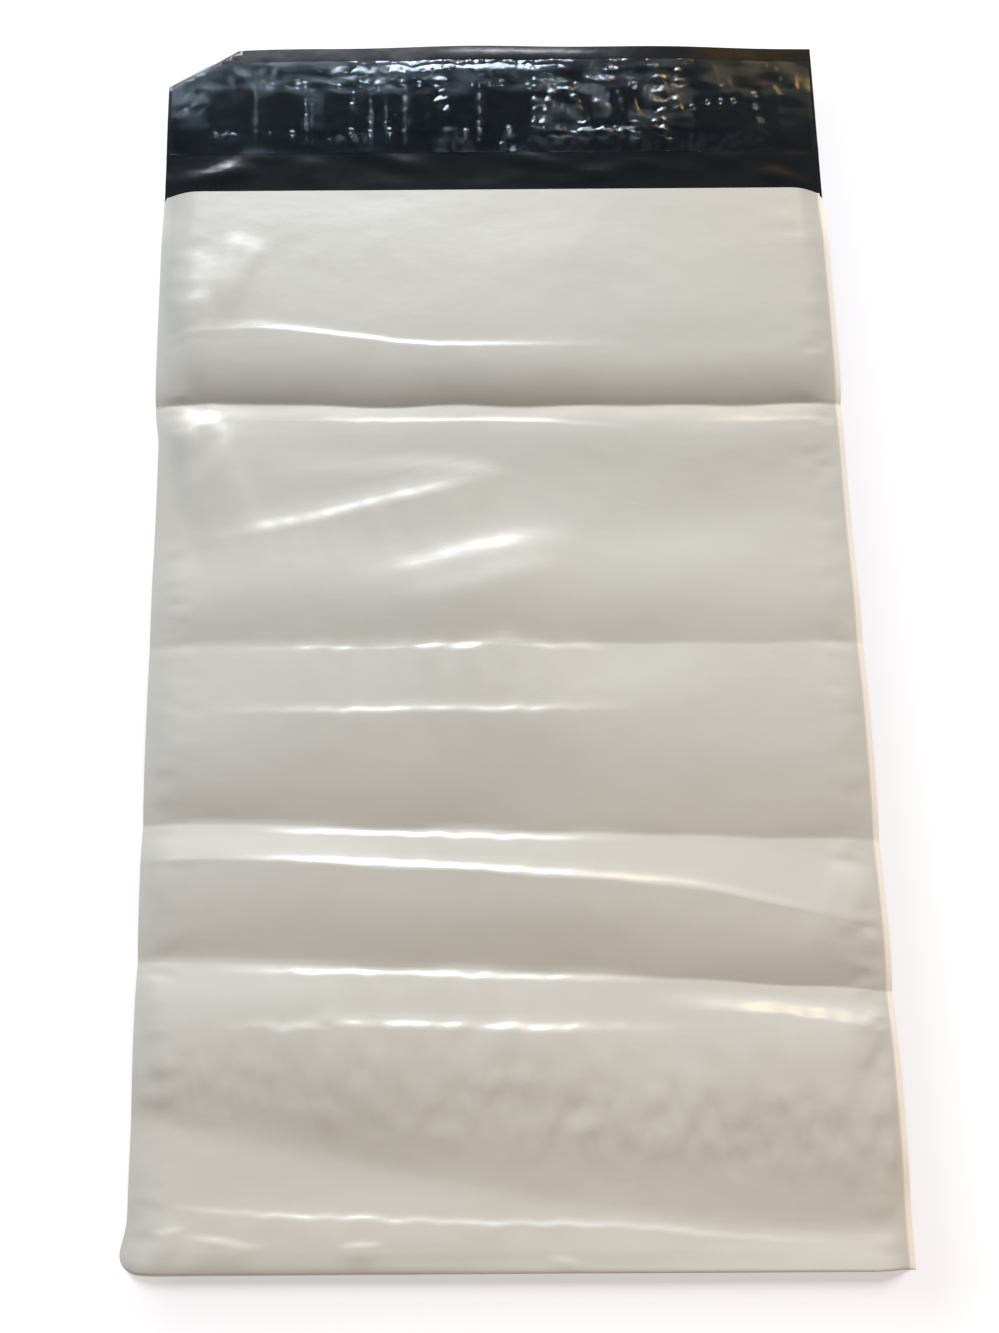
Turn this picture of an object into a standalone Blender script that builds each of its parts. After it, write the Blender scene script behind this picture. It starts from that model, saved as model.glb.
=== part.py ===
"""Poly mailer bag, empty, lying on its back with the flap open.

One sheet of two-colour film is folded at the bottom and welded along both sides. The back panel
runs on past the mouth as the flap, which carries a band of adhesive under a clear release liner.
The bag has been folded up before, so its front panel lies in waves between sharp valley folds.

Metres, +Z up. +Y runs from the bottom fold towards the flap, and the origin is under the middle
of the bag. Distances along the bag are measured from the bottom fold unless a name says otherwise.
"""
import math

import bmesh
import bpy
from mathutils import Vector

# Bag sizes
BAG_WIDTH = 0.200
BAG_LENGTH = 0.300
FLAP_LENGTH = 0.050
FILM_THICKNESS = 0.00006

# Side welds: both layers pressed together and fused at the very edge
WELD_WIDTH = 0.0015
WELD_GAP = 0.00012
SHOULDER = 0.013

# Bottom fold, and the corner that has rolled round
FOLD_RADIUS = 0.0004
LAYER_GAP = 0.0006
CORNER_RADIUS = 0.006

# The left edge steps in at the main fold and flares out at the bottom
EDGE_STEP = 0.0013
EDGE_STEP_RUN = 0.012
BOTTOM_FLARE = 0.0024
FLARE_RUN = 0.014

# Valley folds across the front: distance from the bottom, height left under the fold line,
# run of the gentle side above the line and run of the steep side below it
BOTTOM_CREASE = (0.016, 0.0009, 0.030, 0.005)
THIRD_FOLD = (0.075, 0.0010, 0.021, 0.014)
SECOND_FOLD = (0.110, 0.0008, 0.029, 0.011)
SOFT_FOLD = (0.159, 0.0019, 0.027, 0.015)
MAIN_FOLD = (0.232, 0.0002, 0.018, 0.006)
FOLDS = (BOTTOM_CREASE, THIRD_FOLD, SECOND_FOLD, SOFT_FOLD, MAIN_FOLD)

# Height of the front panel over the back between those folds, from the bottom to the mouth,
# and how far the back panel itself arches off the table there
CRESTS = (0.0017, 0.0030, 0.0026, 0.0031, 0.0028, 0.0034)
ARCHES = (0.0, 0.0, 0.0007, 0.0009, 0.0010, 0.0008)
MOUTH_GAP = 0.0006
MOUTH_RUN = 0.040

# Flap
FLAP_WAVE = 0.0005
FLAP_WAVE_LENGTH = 0.062
FLAP_END_LIFT = 0.0012
TURNED_CORNER_WIDTH = 0.021
TURNED_CORNER_LENGTH = 0.012
TURN_RADIUS = 0.00025
TURN_BLEND = 0.016

# Adhesive band and its liner, measured from the mouth and from the sides of the bag
SEAT_GAP = 0.0003
ADHESIVE_FROM_MOUTH = 0.0305
ADHESIVE_WIDTH = 0.016
ADHESIVE_THICKNESS = 0.0002
ADHESIVE_LEFT_MARGIN = 0.0125
ADHESIVE_RIGHT_MARGIN = 0.0095
LINER_WIDTH = 0.030
LINER_THICKNESS = 0.00005
LINER_SIDE_MARGIN = 0.0012
LINER_PUCKER = 0.0011
PUCKER_SPACING = 0.0165

# Mesh spacing
COLUMN_SPACING = 0.0095
ROW_SPACING = 0.0075
LINER_COLUMN_SPACING = 0.0042

MERGE = 0.0000005

TOTAL_LENGTH = BAG_LENGTH + FLAP_LENGTH
HALF_WIDTH = BAG_WIDTH / 2
BOTTOM_Y = -TOTAL_LENGTH / 2


def clamp(value):
    return min(max(value, 0.0), 1.0)


def smooth(value):
    """0 to 1 with level ends, for a value that runs from 0 to 1."""
    t = clamp(value)
    return t * t * (3.0 - 2.0 * t)


def quarter(value):
    """0 to 1, steepest at the start and level at the end, as film bends away from a fold line."""
    return math.sin(0.5 * math.pi * clamp(value))


def section(s):
    """Which stretch between two folds s lies in, and the folds at its two ends."""
    ends = [(0.0, LAYER_GAP, 0.006, 0.006)]
    ends += [fold for fold in FOLDS if fold[0] < BAG_LENGTH - MOUTH_RUN / 2]
    ends += [(BAG_LENGTH, MOUTH_GAP, MOUTH_RUN, MOUTH_RUN)]
    index = 0
    while index < len(ends) - 2 and s > ends[index + 1][0]:
        index += 1
    return index, ends[index], ends[index + 1]


def arch(s, low, high):
    """0 on the two folds, 1 between them."""
    return quarter((s - low[0]) / low[2]) * quarter((high[0] - s) / high[3])


def panel_gap(s):
    """Height of the front panel over the back panel, away from the side welds."""
    index, low, high = section(s)
    share = clamp((s - low[0]) / (high[0] - low[0]))
    floor = low[1] + (high[1] - low[1]) * share
    return floor + (CRESTS[index] - floor) * arch(s, low, high)


def dent(x, s, centre, reach, turn):
    """A soft oval bump of height 1, its long axis turned from X by so many degrees."""
    dx = x - centre[0]
    ds = s - centre[1]
    along = dx * math.cos(math.radians(turn)) + ds * math.sin(math.radians(turn))
    across = ds * math.cos(math.radians(turn)) - dx * math.sin(math.radians(turn))
    return math.exp(-((along / reach[0]) ** 2) - (across / reach[1]) ** 2)


# Soft marks on the front: centre across and from the bottom, reach along and across, turn, height
MARKS = (
    ((-0.088, 0.265), (0.010, 0.007), 60.0, 0.0007),
    ((-0.090, 0.221), (0.013, 0.009), -20.0, 0.0008),
    ((-0.035, 0.204), (0.034, 0.0035), 9.0, 0.0006),
    ((-0.005, 0.188), (0.026, 0.006), 12.0, 0.0005),
    ((0.085, 0.092), (0.008, 0.005), 40.0, 0.0007),
)


def fullness(x):
    """0 within the side weld, 1 past the shoulder inside it."""
    inset = HALF_WIDTH - WELD_WIDTH - abs(x)
    return quarter(inset / SHOULDER)


def back_height(x, s):
    """Inner face of the back panel, or of the flap, over the table."""
    if s >= BAG_LENGTH:
        return FILM_THICKNESS + flap_height(x, s - BAG_LENGTH)
    index, low, high = section(s)
    lift = smooth((arch(s, low, high) - 0.35) / 0.65)
    return FILM_THICKNESS + ARCHES[index] * lift


def flap_height(x, beyond):
    """Lift of the flap off the table, at a distance beyond the mouth."""
    run = smooth(beyond / FLAP_LENGTH)
    wave = 0.5 - 0.5 * math.cos(2.0 * math.pi * (x + HALF_WIDTH) / FLAP_WAVE_LENGTH)
    middle = math.cos(0.5 * math.pi * clamp(abs(x) / HALF_WIDTH))
    lift = run * (FLAP_WAVE * wave + FLAP_END_LIFT * middle)
    return max(lift, turned_corner_lift(x, beyond))


def corner_side(x, beyond):
    """Distance past the line on which the flap's corner is turned under, below 0 on the flap."""
    dx = -HALF_WIDTH + TURNED_CORNER_WIDTH - x
    dy = beyond - FLAP_LENGTH
    length = math.hypot(TURNED_CORNER_WIDTH, TURNED_CORNER_LENGTH)
    return (dx * TURNED_CORNER_LENGTH + dy * TURNED_CORNER_WIDTH) / length


def turned_corner_lift(x, beyond):
    """The flap rides up on its own corner, which lies turned under it."""
    depth = math.hypot(TURNED_CORNER_WIDTH, TURNED_CORNER_LENGTH)
    hidden = TURNED_CORNER_WIDTH * TURNED_CORNER_LENGTH / depth
    inside = -corner_side(x, beyond) - hidden
    return 2.0 * TURN_RADIUS * (1.0 - smooth(inside / TURN_BLEND))


def front_gap(x, s):
    """Inner face of the front panel over the inner face of the back panel."""
    marks = sum(height * dent(x, s, centre, reach, turn) for centre, reach, turn, height in MARKS)
    middle = panel_gap(s) + marks * smooth((BAG_LENGTH - s) / MOUTH_RUN)
    nose = clamp(s / FOLD_RADIUS)
    rounding = math.sqrt(1.0 - (1.0 - nose) ** 2)
    return rounding * (WELD_GAP + (middle - WELD_GAP) * fullness(x))


def edge_shift(x, s):
    """Sideways shift of the film: the left edge steps in at the main fold and flares below."""
    leftness = smooth(0.5 - x / BAG_WIDTH)
    step = EDGE_STEP * (1.0 - smooth((s - MAIN_FOLD[0] + EDGE_STEP_RUN) / EDGE_STEP_RUN))
    flare = BOTTOM_FLARE * (1.0 - smooth(s / FLARE_RUN))
    return leftness * (step - flare)


def round_corner(x, s):
    """Takes the square bottom left corner of the outline to an arc."""
    out = max(-HALF_WIDTH + CORNER_RADIUS - x, 0.0) / CORNER_RADIUS
    down = max(CORNER_RADIUS - s, 0.0) / CORNER_RADIUS
    if out == 0.0 or down == 0.0:
        return x, s
    new_out = out * math.sqrt(1.0 - down * down / 2.0)
    new_down = down * math.sqrt(1.0 - out * out / 2.0)
    new_x = -HALF_WIDTH + CORNER_RADIUS * (1.0 - new_out)
    return new_x, CORNER_RADIUS * (1.0 - new_down)


def lay_flap(x, beyond):
    """Where a point of the flap lies, with the corner past the turn line folded under."""
    side = corner_side(x, beyond)
    half_bend = 0.5 * math.pi * TURN_RADIUS
    drop = 0.0
    move = 0.0
    if side > half_bend:
        move = -2.0 * side
        drop = 2.0 * TURN_RADIUS
    elif side > -half_bend:
        angle = 0.5 * math.pi * (side / half_bend + 1.0)
        move = -half_bend + TURN_RADIUS * math.sin(angle) - side
        drop = TURN_RADIUS * (1.0 - math.cos(angle))
    length = math.hypot(TURNED_CORNER_WIDTH, TURNED_CORNER_LENGTH)
    new_x = x - move * TURNED_CORNER_LENGTH / length
    new_beyond = beyond + move * TURNED_CORNER_WIDTH / length
    height = FILM_THICKNESS + flap_height(new_x, new_beyond) - drop
    return new_x, new_beyond, max(height, 0.0)


def lay_film(x, w):
    """Place of a point of the flat sheet: w is 0 at the bottom fold, the front above, the back below.

    The outermost columns lie past the sides of the sheet. They close the film round the weld.
    """
    in_x = max(-HALF_WIDTH, min(HALF_WIDTH, x))
    if w < -BAG_LENGTH - MERGE:
        new_x, beyond, height = lay_flap(in_x, -w - BAG_LENGTH)
        y = BOTTOM_Y + BAG_LENGTH + beyond
        return Vector((new_x + edge_shift(new_x, BAG_LENGTH), y, height))
    s = min(abs(w), BAG_LENGTH)
    height = back_height(in_x, s)
    if w > 0.0 and in_x == x:
        height += front_gap(in_x, s)
    new_x, new_s = round_corner(in_x, s)
    return Vector((new_x + edge_shift(new_x, new_s), BOTTOM_Y + new_s, height))


def spaced(fixed, spacing):
    """The fixed stations in order, with even ones put between them."""
    stations = []
    fixed = sorted(fixed)
    for first, last in zip(fixed, fixed[1:]):
        count = max(round((last - first) / spacing), 1)
        stations += [first + (last - first) * step / count for step in range(count)]
    return stations + [fixed[-1]]


def film_columns():
    edge = HALF_WIDTH - WELD_WIDTH
    inner = edge - SHOULDER
    side = [edge, edge - 0.35 * SHOULDER, inner]
    stations = spaced([-inner, -inner + CORNER_RADIUS, inner], COLUMN_SPACING)
    left = [-HALF_WIDTH] + [-value for value in side]
    right = side[::-1] + [HALF_WIDTH]
    within = [value for value in stations if abs(value) < inner - MERGE]
    bead = HALF_WIDTH + WELD_GAP
    return [-bead] + left + within + right + [bead]


def body_rows():
    stations = {0.0, 0.3 * FOLD_RADIUS, FOLD_RADIUS, 0.0022, 0.0045, BAG_LENGTH}
    for place, _, run_up, run_down in FOLDS:
        for offset in (-run_down, -run_down / 2, 0.0, run_up / 3, run_up):
            stations.add(place + offset)
    kept = sorted(value for value in stations if 0.0 <= value <= BAG_LENGTH)
    apart = [kept[0]]
    for value in kept[1:]:
        if value - apart[-1] > 0.2 * FOLD_RADIUS:
            apart.append(value)
    return spaced(apart, ROW_SPACING)


def shape_grid(columns, rows):
    """A grid of faces whose lines run through the given columns and rows."""
    bm = bmesh.new()
    across = len(columns) - 1
    along = len(rows) - 1
    bmesh.ops.create_grid(bm, x_segments=across, y_segments=along, size=1.0)
    for vert in bm.verts:
        column = columns[round((vert.co.x + 1.0) / 2.0 * across)]
        row = rows[round((vert.co.y + 1.0) / 2.0 * along)]
        vert.co = Vector((column, row, 0.0))
    return bm


def cut_turned_corner(bm):
    """Lines for the bend of the turned corner, cut into the flat sheet."""
    length = math.hypot(TURNED_CORNER_WIDTH, TURNED_CORNER_LENGTH)
    normal = Vector((-TURNED_CORNER_LENGTH, -TURNED_CORNER_WIDTH, 0.0)) / length
    start = Vector((-HALF_WIDTH + TURNED_CORNER_WIDTH, -TOTAL_LENGTH, 0.0))
    half_bend = 0.5 * math.pi * TURN_RADIUS
    for share in (-1.0, -0.5, 0.0, 0.5, 1.0):
        bmesh.ops.bisect_plane(
            bm,
            geom=bm.verts[:] + bm.edges[:] + bm.faces[:],
            dist=MERGE,
            plane_co=start + normal * half_bend * share,
            plane_no=normal,
        )


def new_object(name, bm, collection, materials):
    mesh = bpy.data.meshes.new(name)
    bm.to_mesh(mesh)
    bm.free()
    for material in materials:
        mesh.materials.append(material)
    obj = bpy.data.objects.new(name, mesh)
    collection.objects.link(obj)
    return obj


def solidify(obj, thickness):
    """Gives an open sheet its wall, on the side that its faces point to."""
    wall = obj.modifiers.new("wall", "SOLIDIFY")
    wall.thickness = thickness
    wall.offset = 1.0
    return wall


def make_material(name, color, roughness):
    material = bpy.data.materials.new(name)
    material.use_nodes = True
    shader = material.node_tree.nodes["Principled BSDF"]
    shader.inputs["Base Color"].default_value = (*color, 1.0)
    shader.inputs["Roughness"].default_value = roughness
    shader.inputs["Metallic"].default_value = 0.0
    return material


def make_film(collection):
    """The whole bag: one sheet folded at the bottom, welded at the sides and given its thickness."""
    inside = make_material("black_film_inside", (0.018, 0.022, 0.026), 0.25)
    outside = make_material("white_film_outside", (0.56, 0.54, 0.50), 0.30)
    rows = body_rows()
    flap_rows = spaced([BAG_LENGTH, BAG_LENGTH + 0.004, TOTAL_LENGTH], ROW_SPACING)
    sheet_rows = [-value for value in flap_rows[:0:-1]] + [-value for value in rows[:0:-1]] + rows
    bm = shape_grid(film_columns(), sheet_rows)
    cut_turned_corner(bm)
    for vert in bm.verts:
        vert.co = lay_film(vert.co.x, vert.co.y)
    bmesh.ops.remove_doubles(bm, verts=bm.verts[:], dist=MERGE)
    obj = new_object("bag_film", bm, collection, (outside, inside))
    wall = solidify(obj, FILM_THICKNESS)
    wall.material_offset = 1
    wall.material_offset_rim = 1
    return obj


def strip_y(share, width):
    return BOTTOM_Y + BAG_LENGTH + ADHESIVE_FROM_MOUTH + width * share


def flap_top(x, y):
    beyond = y - BOTTOM_Y - BAG_LENGTH
    return FILM_THICKNESS + flap_height(x, beyond)


def make_adhesive(collection):
    """Hot-melt band along the flap, with rounded ends."""
    material = make_material("hot_melt_adhesive", (0.012, 0.011, 0.010), 0.18)
    left = -HALF_WIDTH + ADHESIVE_LEFT_MARGIN
    right = HALF_WIDTH - ADHESIVE_RIGHT_MARGIN
    radius = ADHESIVE_WIDTH / 2
    ends = [0.0, 0.12, 0.35, 0.7, 1.0]
    columns = [left + radius * share for share in ends]
    columns += spaced([left + radius, right - radius], COLUMN_SPACING)[1:-1]
    columns += [right - radius * share for share in ends[::-1]]
    bm = shape_grid(columns, (-0.5, -0.17, 0.17, 0.5))
    for vert in bm.verts:
        inset = clamp(min(vert.co.x - left, right - vert.co.x) / radius)
        narrowing = math.sqrt(1.0 - (1.0 - inset) ** 2) * 0.94 + 0.06
        y = strip_y(vert.co.y * narrowing, ADHESIVE_WIDTH)
        vert.co = Vector((vert.co.x, y, flap_top(vert.co.x, y) + SEAT_GAP))
    obj = new_object("adhesive_strip", bm, collection, (material,))
    solidify(obj, ADHESIVE_THICKNESS)
    return obj


def clear_of_turn(x, y, left):
    """Draws the liner's left end in, so that it stops along the line of the turned corner."""
    beyond = y - BOTTOM_Y - BAG_LENGTH
    along = TURNED_CORNER_WIDTH * (1.0 + (beyond - FLAP_LENGTH) / TURNED_CORNER_LENGTH)
    start = -HALF_WIDTH + along + TURN_RADIUS + LINER_SIDE_MARGIN
    end = -HALF_WIDTH + TURNED_CORNER_WIDTH
    if x >= end or start <= left:
        return x
    return start + (end - start) * (x - left) / (end - left)


def pucker(x, share):
    """Height of the liner's puckers, 0 to 1: uneven ridges that run across the band."""
    slant = 0.25 * PUCKER_SPACING * share
    phase = 2.0 * math.pi * (x + slant) / PUCKER_SPACING
    ridge = 0.5 + 0.5 * math.sin(phase + 1.7 * math.sin(0.37 * phase))
    return ridge ** 2 * (0.55 + 0.45 * math.sin(0.23 * phase + 1.0))


def make_liner(collection):
    """Clear release liner over the adhesive. It has puckered where the bag was folded."""
    material = make_material("clear_release_liner", (0.10, 0.11, 0.11), 0.12)
    left = -HALF_WIDTH + LINER_SIDE_MARGIN
    right = HALF_WIDTH - LINER_SIDE_MARGIN
    columns = spaced([left, -HALF_WIDTH + TURNED_CORNER_WIDTH, right], LINER_COLUMN_SPACING)
    bm = shape_grid(columns, (-0.5, -0.27, 0.0, 0.27, 0.5))
    seat = 2.0 * SEAT_GAP + ADHESIVE_THICKNESS
    for vert in bm.verts:
        share = vert.co.y
        y = strip_y(share, LINER_WIDTH)
        x = clear_of_turn(vert.co.x, y, left)
        spread = 1.0 - 0.6 * (2.0 * abs(share)) ** 2
        height = flap_top(x, y) + seat + LINER_PUCKER * pucker(x, share) * spread
        vert.co = Vector((x, y, height))
    obj = new_object("release_liner", bm, collection, (material,))
    solidify(obj, LINER_THICKNESS)
    return obj


def centre_on_origin(pieces, film):
    """The outline isn't quite even, so the pieces move together until its middle is at X 0."""
    across = [vert.co.x for vert in film.data.vertices]
    middle = (min(across) + max(across)) / 2
    for piece in pieces:
        piece.location.x = -middle


def main():
    for obj in list(bpy.data.objects):
        bpy.data.objects.remove(obj, do_unlink=True)
    collection = bpy.data.collections.new("poly_mailer_bag")
    bpy.context.scene.collection.children.link(collection)
    film = make_film(collection)
    pieces = (film, make_adhesive(collection), make_liner(collection))
    for piece in pieces:
        piece.data.shade_smooth()
    centre_on_origin(pieces, film)


main()
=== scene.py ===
# %% [markdown]
# This lesson dresses an empty film mailing bag that lies on a table with its flap open. The bag is
# one thin sheet of two-colour film, so nearly all of its look comes from folds, creases and gloss.
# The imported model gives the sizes, and every piece made here is laid on them.

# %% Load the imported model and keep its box
import math

import bmesh
import bpy
import numpy as np
from mathutils import Matrix, Vector


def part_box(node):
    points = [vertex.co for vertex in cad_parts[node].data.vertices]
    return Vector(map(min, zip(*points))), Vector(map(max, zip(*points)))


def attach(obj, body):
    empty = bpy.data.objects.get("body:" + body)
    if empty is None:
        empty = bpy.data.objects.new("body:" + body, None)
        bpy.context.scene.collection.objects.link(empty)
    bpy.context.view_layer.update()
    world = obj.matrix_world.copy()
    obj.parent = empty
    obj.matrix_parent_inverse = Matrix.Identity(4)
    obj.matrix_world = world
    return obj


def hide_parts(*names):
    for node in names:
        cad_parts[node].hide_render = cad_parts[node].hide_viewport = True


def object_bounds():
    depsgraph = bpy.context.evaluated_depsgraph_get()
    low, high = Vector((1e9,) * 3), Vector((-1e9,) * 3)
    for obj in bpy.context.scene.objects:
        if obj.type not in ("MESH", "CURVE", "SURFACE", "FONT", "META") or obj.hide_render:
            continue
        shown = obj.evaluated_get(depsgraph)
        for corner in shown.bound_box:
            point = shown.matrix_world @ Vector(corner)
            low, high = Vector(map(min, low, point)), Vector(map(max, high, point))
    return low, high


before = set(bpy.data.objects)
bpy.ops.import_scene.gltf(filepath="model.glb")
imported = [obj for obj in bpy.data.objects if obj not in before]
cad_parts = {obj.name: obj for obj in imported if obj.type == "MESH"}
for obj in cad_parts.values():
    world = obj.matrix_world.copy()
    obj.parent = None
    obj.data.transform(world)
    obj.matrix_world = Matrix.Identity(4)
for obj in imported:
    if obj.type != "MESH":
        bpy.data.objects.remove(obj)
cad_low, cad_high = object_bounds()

print("packed box in mm:", [round(1000 * v, 1) for v in (*cad_low, *cad_high)])

# %% [markdown]
# The bag's own sizes come first. A mailer like this is cut from a flat sheet, folded once at the
# bottom and welded down both sides, so three lengths describe it. They could be read off the packed
# model's box, but named lengths can be followed and changed. Distances along the bag are measured
# from the bottom fold, and the flap's from the mouth. Everything is in metres, apart from tables of
# measured places, which are in millimetres.

# %% Sizes of the bag
MM = 0.001
bag_width = 200 * MM
bag_length = 300 * MM
flap_length = 50 * MM
film_thickness = 0.06 * MM
weld_width = 1.5 * MM
weld_gap = 0.12 * MM
shoulder = 9 * MM
fold_radius = 0.6 * MM
corner_radius = 6 * MM
half_width = bag_width / 2
bottom_y = cad_low[1] + film_thickness
film_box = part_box("bag_film")
print("film node in mm:", [round(1000 * (b - a), 1) for a, b in zip(*film_box)])

# %% [markdown]
# Folded film is all slopes: level with the table it looks grey, tipped towards the window it is
# light, and tipped away it is dark. It could be sculpted by hand, but then no slope could be set.
# So the shapes are written as curves through points whose slopes are chosen as well. The functions
# work on whole arrays, to shape a fine mesh at once.


# %% Curves that shape the film
def clamp(value):
    return np.clip(value, 0.0, 1.0)


def smooth(value):
    t = clamp(value)
    return t * t * (3.0 - 2.0 * t)


def quarter(value):
    return np.sin(0.5 * np.pi * clamp(value))


def bell(value):
    return np.exp(-(value**2))


def sloped_curve(value, places, heights, slopes_before, slopes_after):
    """A curve through the points that reaches and leaves each one with the slopes given."""
    i = np.clip(np.searchsorted(places, value) - 1, 0, len(places) - 2)
    run = places[i + 1] - places[i]
    t = clamp((value - places[i]) / run)
    start = (1.0 + 2.0 * t) * (1.0 - t) ** 2 * heights[i] + t * (1.0 - t) ** 2 * run * slopes_after[i]
    end = t**2 * (3.0 - 2.0 * t) * heights[i + 1] - t**2 * (1.0 - t) * run * slopes_before[i + 1]
    return start + end


def smooth_curve(value, places, heights):
    slopes = np.gradient(heights, places)
    return sloped_curve(value, places, heights, slopes, slopes)


def ripples(x, s, seed, wave_x, wave_s, count=32):
    """A smooth random surface about 1 high, with waves near the two lengths given."""
    rng = np.random.default_rng(seed)
    total = np.zeros_like(x)
    for _ in range(count):
        turn = rng.uniform(0.0, 2.0 * np.pi)
        stretch = rng.uniform(0.55, 1.5)
        phase = rng.uniform(0.0, 2.0 * np.pi)
        waves = (math.cos(turn) * x / wave_x + math.sin(turn) * s / wave_s) / stretch
        total += np.cos(2.0 * np.pi * waves + phase)
    return total * math.sqrt(2.0 / count)


# %% [markdown]
# The folds and the waves between them don't run quite square to the bag. Each is a line across it,
# given by its distance from the bottom at five stations from the left weld to the right one. A
# point's place between two lines is turned into a place on the bag's middle, where the height
# profile is written: distance and height in millimetres, and the slope below and above each point.
# The profile is a saw-tooth, because film that was folded inwards keeps a sharp valley and rises
# gently to a blunt crest. A cloth simulation would fold a sheet too, but not in the same places.

# %% Folds and the height profile of the front panel
stations = np.array((-100.0, -50.0, 0.0, 50.0, 100.0)) * MM
fold_lines = (
    (0, 0, 0, 0, 0),
    (37, 28, 18, 12.5, 9),
    (76, 74.6, 73, 70.5, 67),
    (102, 101, 98.2, 93.8, 83.5),
    (111.5, 110.8, 109.6, 108, 106),
    (141.5, 141, 140.8, 141.6, 142),
    (160.5, 160.2, 160.7, 160.7, 160.4),
    (232.2, 232, 231.8, 231.8, 231.6),
    (300, 300, 300, 300, 300),
)
profile = (
    # from the bottom, height, slope below, slope above
    (0, 1.9, 0, 0.5),
    (1.4, 2.5, 0, -0.1),
    (10, 1.4, -0.13, -0.12),
    (18, 0.75, -0.02, 0.08),
    (33, 2.5, 0.1, 0.1),
    (47, 3.4, 0.01, 0.01),
    (58, 2.9, -0.09, -0.09),
    (73, 0.4, -0.17, 0.25),
    (87, 2.8, 0.10, 0.10),
    (98.2, 3.3, 0.03, -0.20),
    (109.6, 0.6, -0.20, 0.26),
    (126, 3.2, 0.08, 0.08),
    (138, 3.6, 0, 0),
    (150, 3, -0.09, -0.09),
    (160.7, 1.8, -0.13, 0.11),
    (172, 2.7, 0.02, 0.02),
    (192, 1.15, -0.07, -0.07),
    (210, 0.9, 0.01, 0.01),
    (222, 1.1, 0, 0),
    (226.5, 0.95, -0.05, -0.08),
    (231.8, 0.3, -0.12, 0.6),
    (240.5, 3.4, 0.2, 0.2),
    (253, 4.1, 0.01, 0.01),
    (275, 3.7, -0.02, -0.02),
    (300, 2.9, -0.03, -0.03),
)
fold_wander = 0.4 * MM
wander_from = 8 * MM
back_share = 0.22
back_share_at_welds = 0.55
back_rise_from = (6 * MM, 30 * MM)
back_rise_limit = 2.0 * MM
resting_height = 0.35 * MM
print("lines across:", len(fold_lines) - 2, "highest point:", max(row[1] for row in profile), "mm")


def lines_at(x, lines):
    return [smooth_curve(x, stations, np.array(line) * MM) for line in lines]


def follow(value, from_lines, to_lines):
    """Moves places that are measured between one set of lines to the same shares of another."""
    result = np.zeros_like(value)
    for k in range(len(from_lines) - 1):
        share = clamp((value - from_lines[k]) / (from_lines[k + 1] - from_lines[k]))
        result = result + share * (to_lines[k + 1] - to_lines[k])
    return result


def panel_height(x, s):
    """Height of the front panel over the table, away from the welds and without its marks."""
    wander = fold_wander * ripples(x, 0 * x, 40, 40 * MM, 1.0) * smooth(s / wander_from)
    middle = lines_at(np.zeros(1), fold_lines)
    straight = follow(s + wander, lines_at(x, fold_lines), middle)
    places, heights, below, above = (np.array(column) for column in zip(*profile))
    return sloped_curve(straight, places * MM, heights * MM, below, above)


def back_lift(x, s):
    """The back panel follows the front up a little, most of all at the stiff welds."""
    start, end = back_rise_from
    inwards = smooth((half_width - np.abs(x)) / (3 * shoulder))
    share = back_share_at_welds + (back_share - back_share_at_welds) * inwards
    lift = share * smooth((s - start) / (end - start)) * (panel_height(x, s) - resting_height)
    lift = lift * smooth((bag_length - s) / (2 * shoulder))
    return back_rise_limit * np.tanh(np.maximum(lift, 0.0) / back_rise_limit)
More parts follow.
